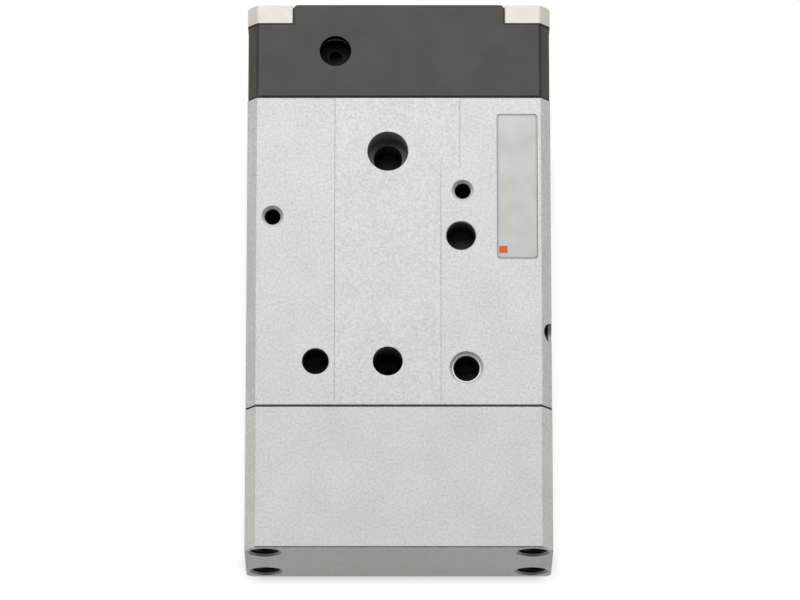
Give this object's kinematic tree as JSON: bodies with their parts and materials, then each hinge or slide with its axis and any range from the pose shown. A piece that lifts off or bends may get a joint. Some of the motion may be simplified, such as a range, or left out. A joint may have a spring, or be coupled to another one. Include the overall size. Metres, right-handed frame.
{
  "type": "pneumatic slide table",
  "caption": "Compact pneumatic slide table: a double-bore cylinder body over a table on crossed rollers, with a sprung front block and a rear end lock.",
  "frame": {"origin": "centre of the bottom of the bounding box: on the payload face of the table, half-way along the unit", "axes": "+Z from the payload face of the table to the mounting face of the body, -Y the way that the table extends, +X to the right seen from behind the front block looking to the rear"},
  "size_m": [0.0622, 0.1146, 0.04],
  "materials": {
    "anodised_body": "blasted and clear anodised",
    "anodised_block": "blasted and clear anodised",
    "table_aluminium": "machined and clear anodised",
    "dark_cover": "dark hard-coated, matt",
    "ivory_bar": "moulded, ivory, satin",
    "gasket_black": "nitrile, matt",
    "seal_black": "nitrile, satin",
    "bumper_urethane": "urethane, satin",
    "black_screw": "black oxide",
    "bright_screw": "zinc plated",
    "hard_steel": "hardened and ground",
    "chromed_rod": "hard chromed",
    "spring_steel": "spring steel",
    "turned_aluminium": "turned",
    "piston_aluminium": "turned, chromated",
    "magnet": "bonded magnet",
    "cage_brass": "stamped",
    "bush_bronze": "turned",
    "plate_silver": "bare foil"
  },
  "bodies": {
    "cylinder": {"body": "anodised_body", "gasket": "gasket_black", "rear_cover": "dark_cover", "left_clamp_bar": "ivory_bar", "right_clamp_bar": "ivory_bar", "clamp_screws": "black_screw", "left_rod_cover": "turned_aluminium", "right_rod_cover": "turned_aluminium", "rod_seals": "seal_black", "rod_cover_rings": "seal_black", "snap_rings": "spring_steel", "front_bumpers": "bumper_urethane", "rear_bumpers": "bumper_urethane", "left_head_cap": "turned_aluminium", "right_head_cap": "turned_aluminium", "head_cap_rings": "seal_black", "guide_rail": "hard_steel", "rail_screws": "black_screw", "rail_end_plates": "bright_screw", "port_plugs": "bright_screw", "name_plate": "plate_silver", "lock_bush": "bush_bronze", "lock_spring": "spring_steel"},
    "slide": {"table": "table_aluminium", "front_block": "anodised_block", "block_screws": "black_screw", "bridge_retainer": "bright_screw", "retainer_screws": "black_screw", "buffer_springs": "spring_steel", "spring_guides": "hard_steel"},
    "rods": {"left_rod": "chromed_rod", "right_rod": "chromed_rod", "left_piston": "piston_aluminium", "right_piston": "piston_aluminium", "piston_seals": "seal_black", "piston_magnets": "magnet", "piston_nut": "bright_screw", "lock_tail": "hard_steel", "rod_bridge": "hard_steel", "rod_nuts": "bright_screw"},
    "left_cage_set": {"left_cage": "cage_brass", "left_rollers": "hard_steel"},
    "right_cage_set": {"right_cage": "cage_brass", "right_rollers": "hard_steel"},
    "lock": {"lock_pin": "hard_steel", "lock_pin_seal": "seal_black"}
  },
  "joints": [
    {"name": "table_slide", "type": "slide", "parent": "cylinder", "child": "slide", "axis": [0, -1, 0], "range_m": [0, 0.02]},
    {"name": "left_cage_slide", "type": "slide", "parent": "cylinder", "child": "left_cage_set", "axis": [0, -1, 0], "range_m": [0, 0.01]},
    {"name": "right_cage_slide", "type": "slide", "parent": "cylinder", "child": "right_cage_set", "axis": [0, -1, 0], "range_m": [0, 0.01]},
    {"name": "buffer_slide", "type": "slide", "parent": "slide", "child": "rods", "axis": [0, -1, 0], "range_m": [0, 0.004], "stiffness_N_per_m": 3000, "springref_m": -0.002, "deforming": ["buffer_springs"]},
    {"name": "lock_pin_slide", "type": "slide", "parent": "cylinder", "child": "lock", "axis": [0, 0, -1], "range_m": [0, 0.003], "deforming": ["lock_spring"]}
  ],
  "couplings": [
    {"joint": "left_cage_slide", "follows": "table_slide", "ratio": 0.5},
    {"joint": "right_cage_slide", "follows": "table_slide", "ratio": 0.5}
  ]
}
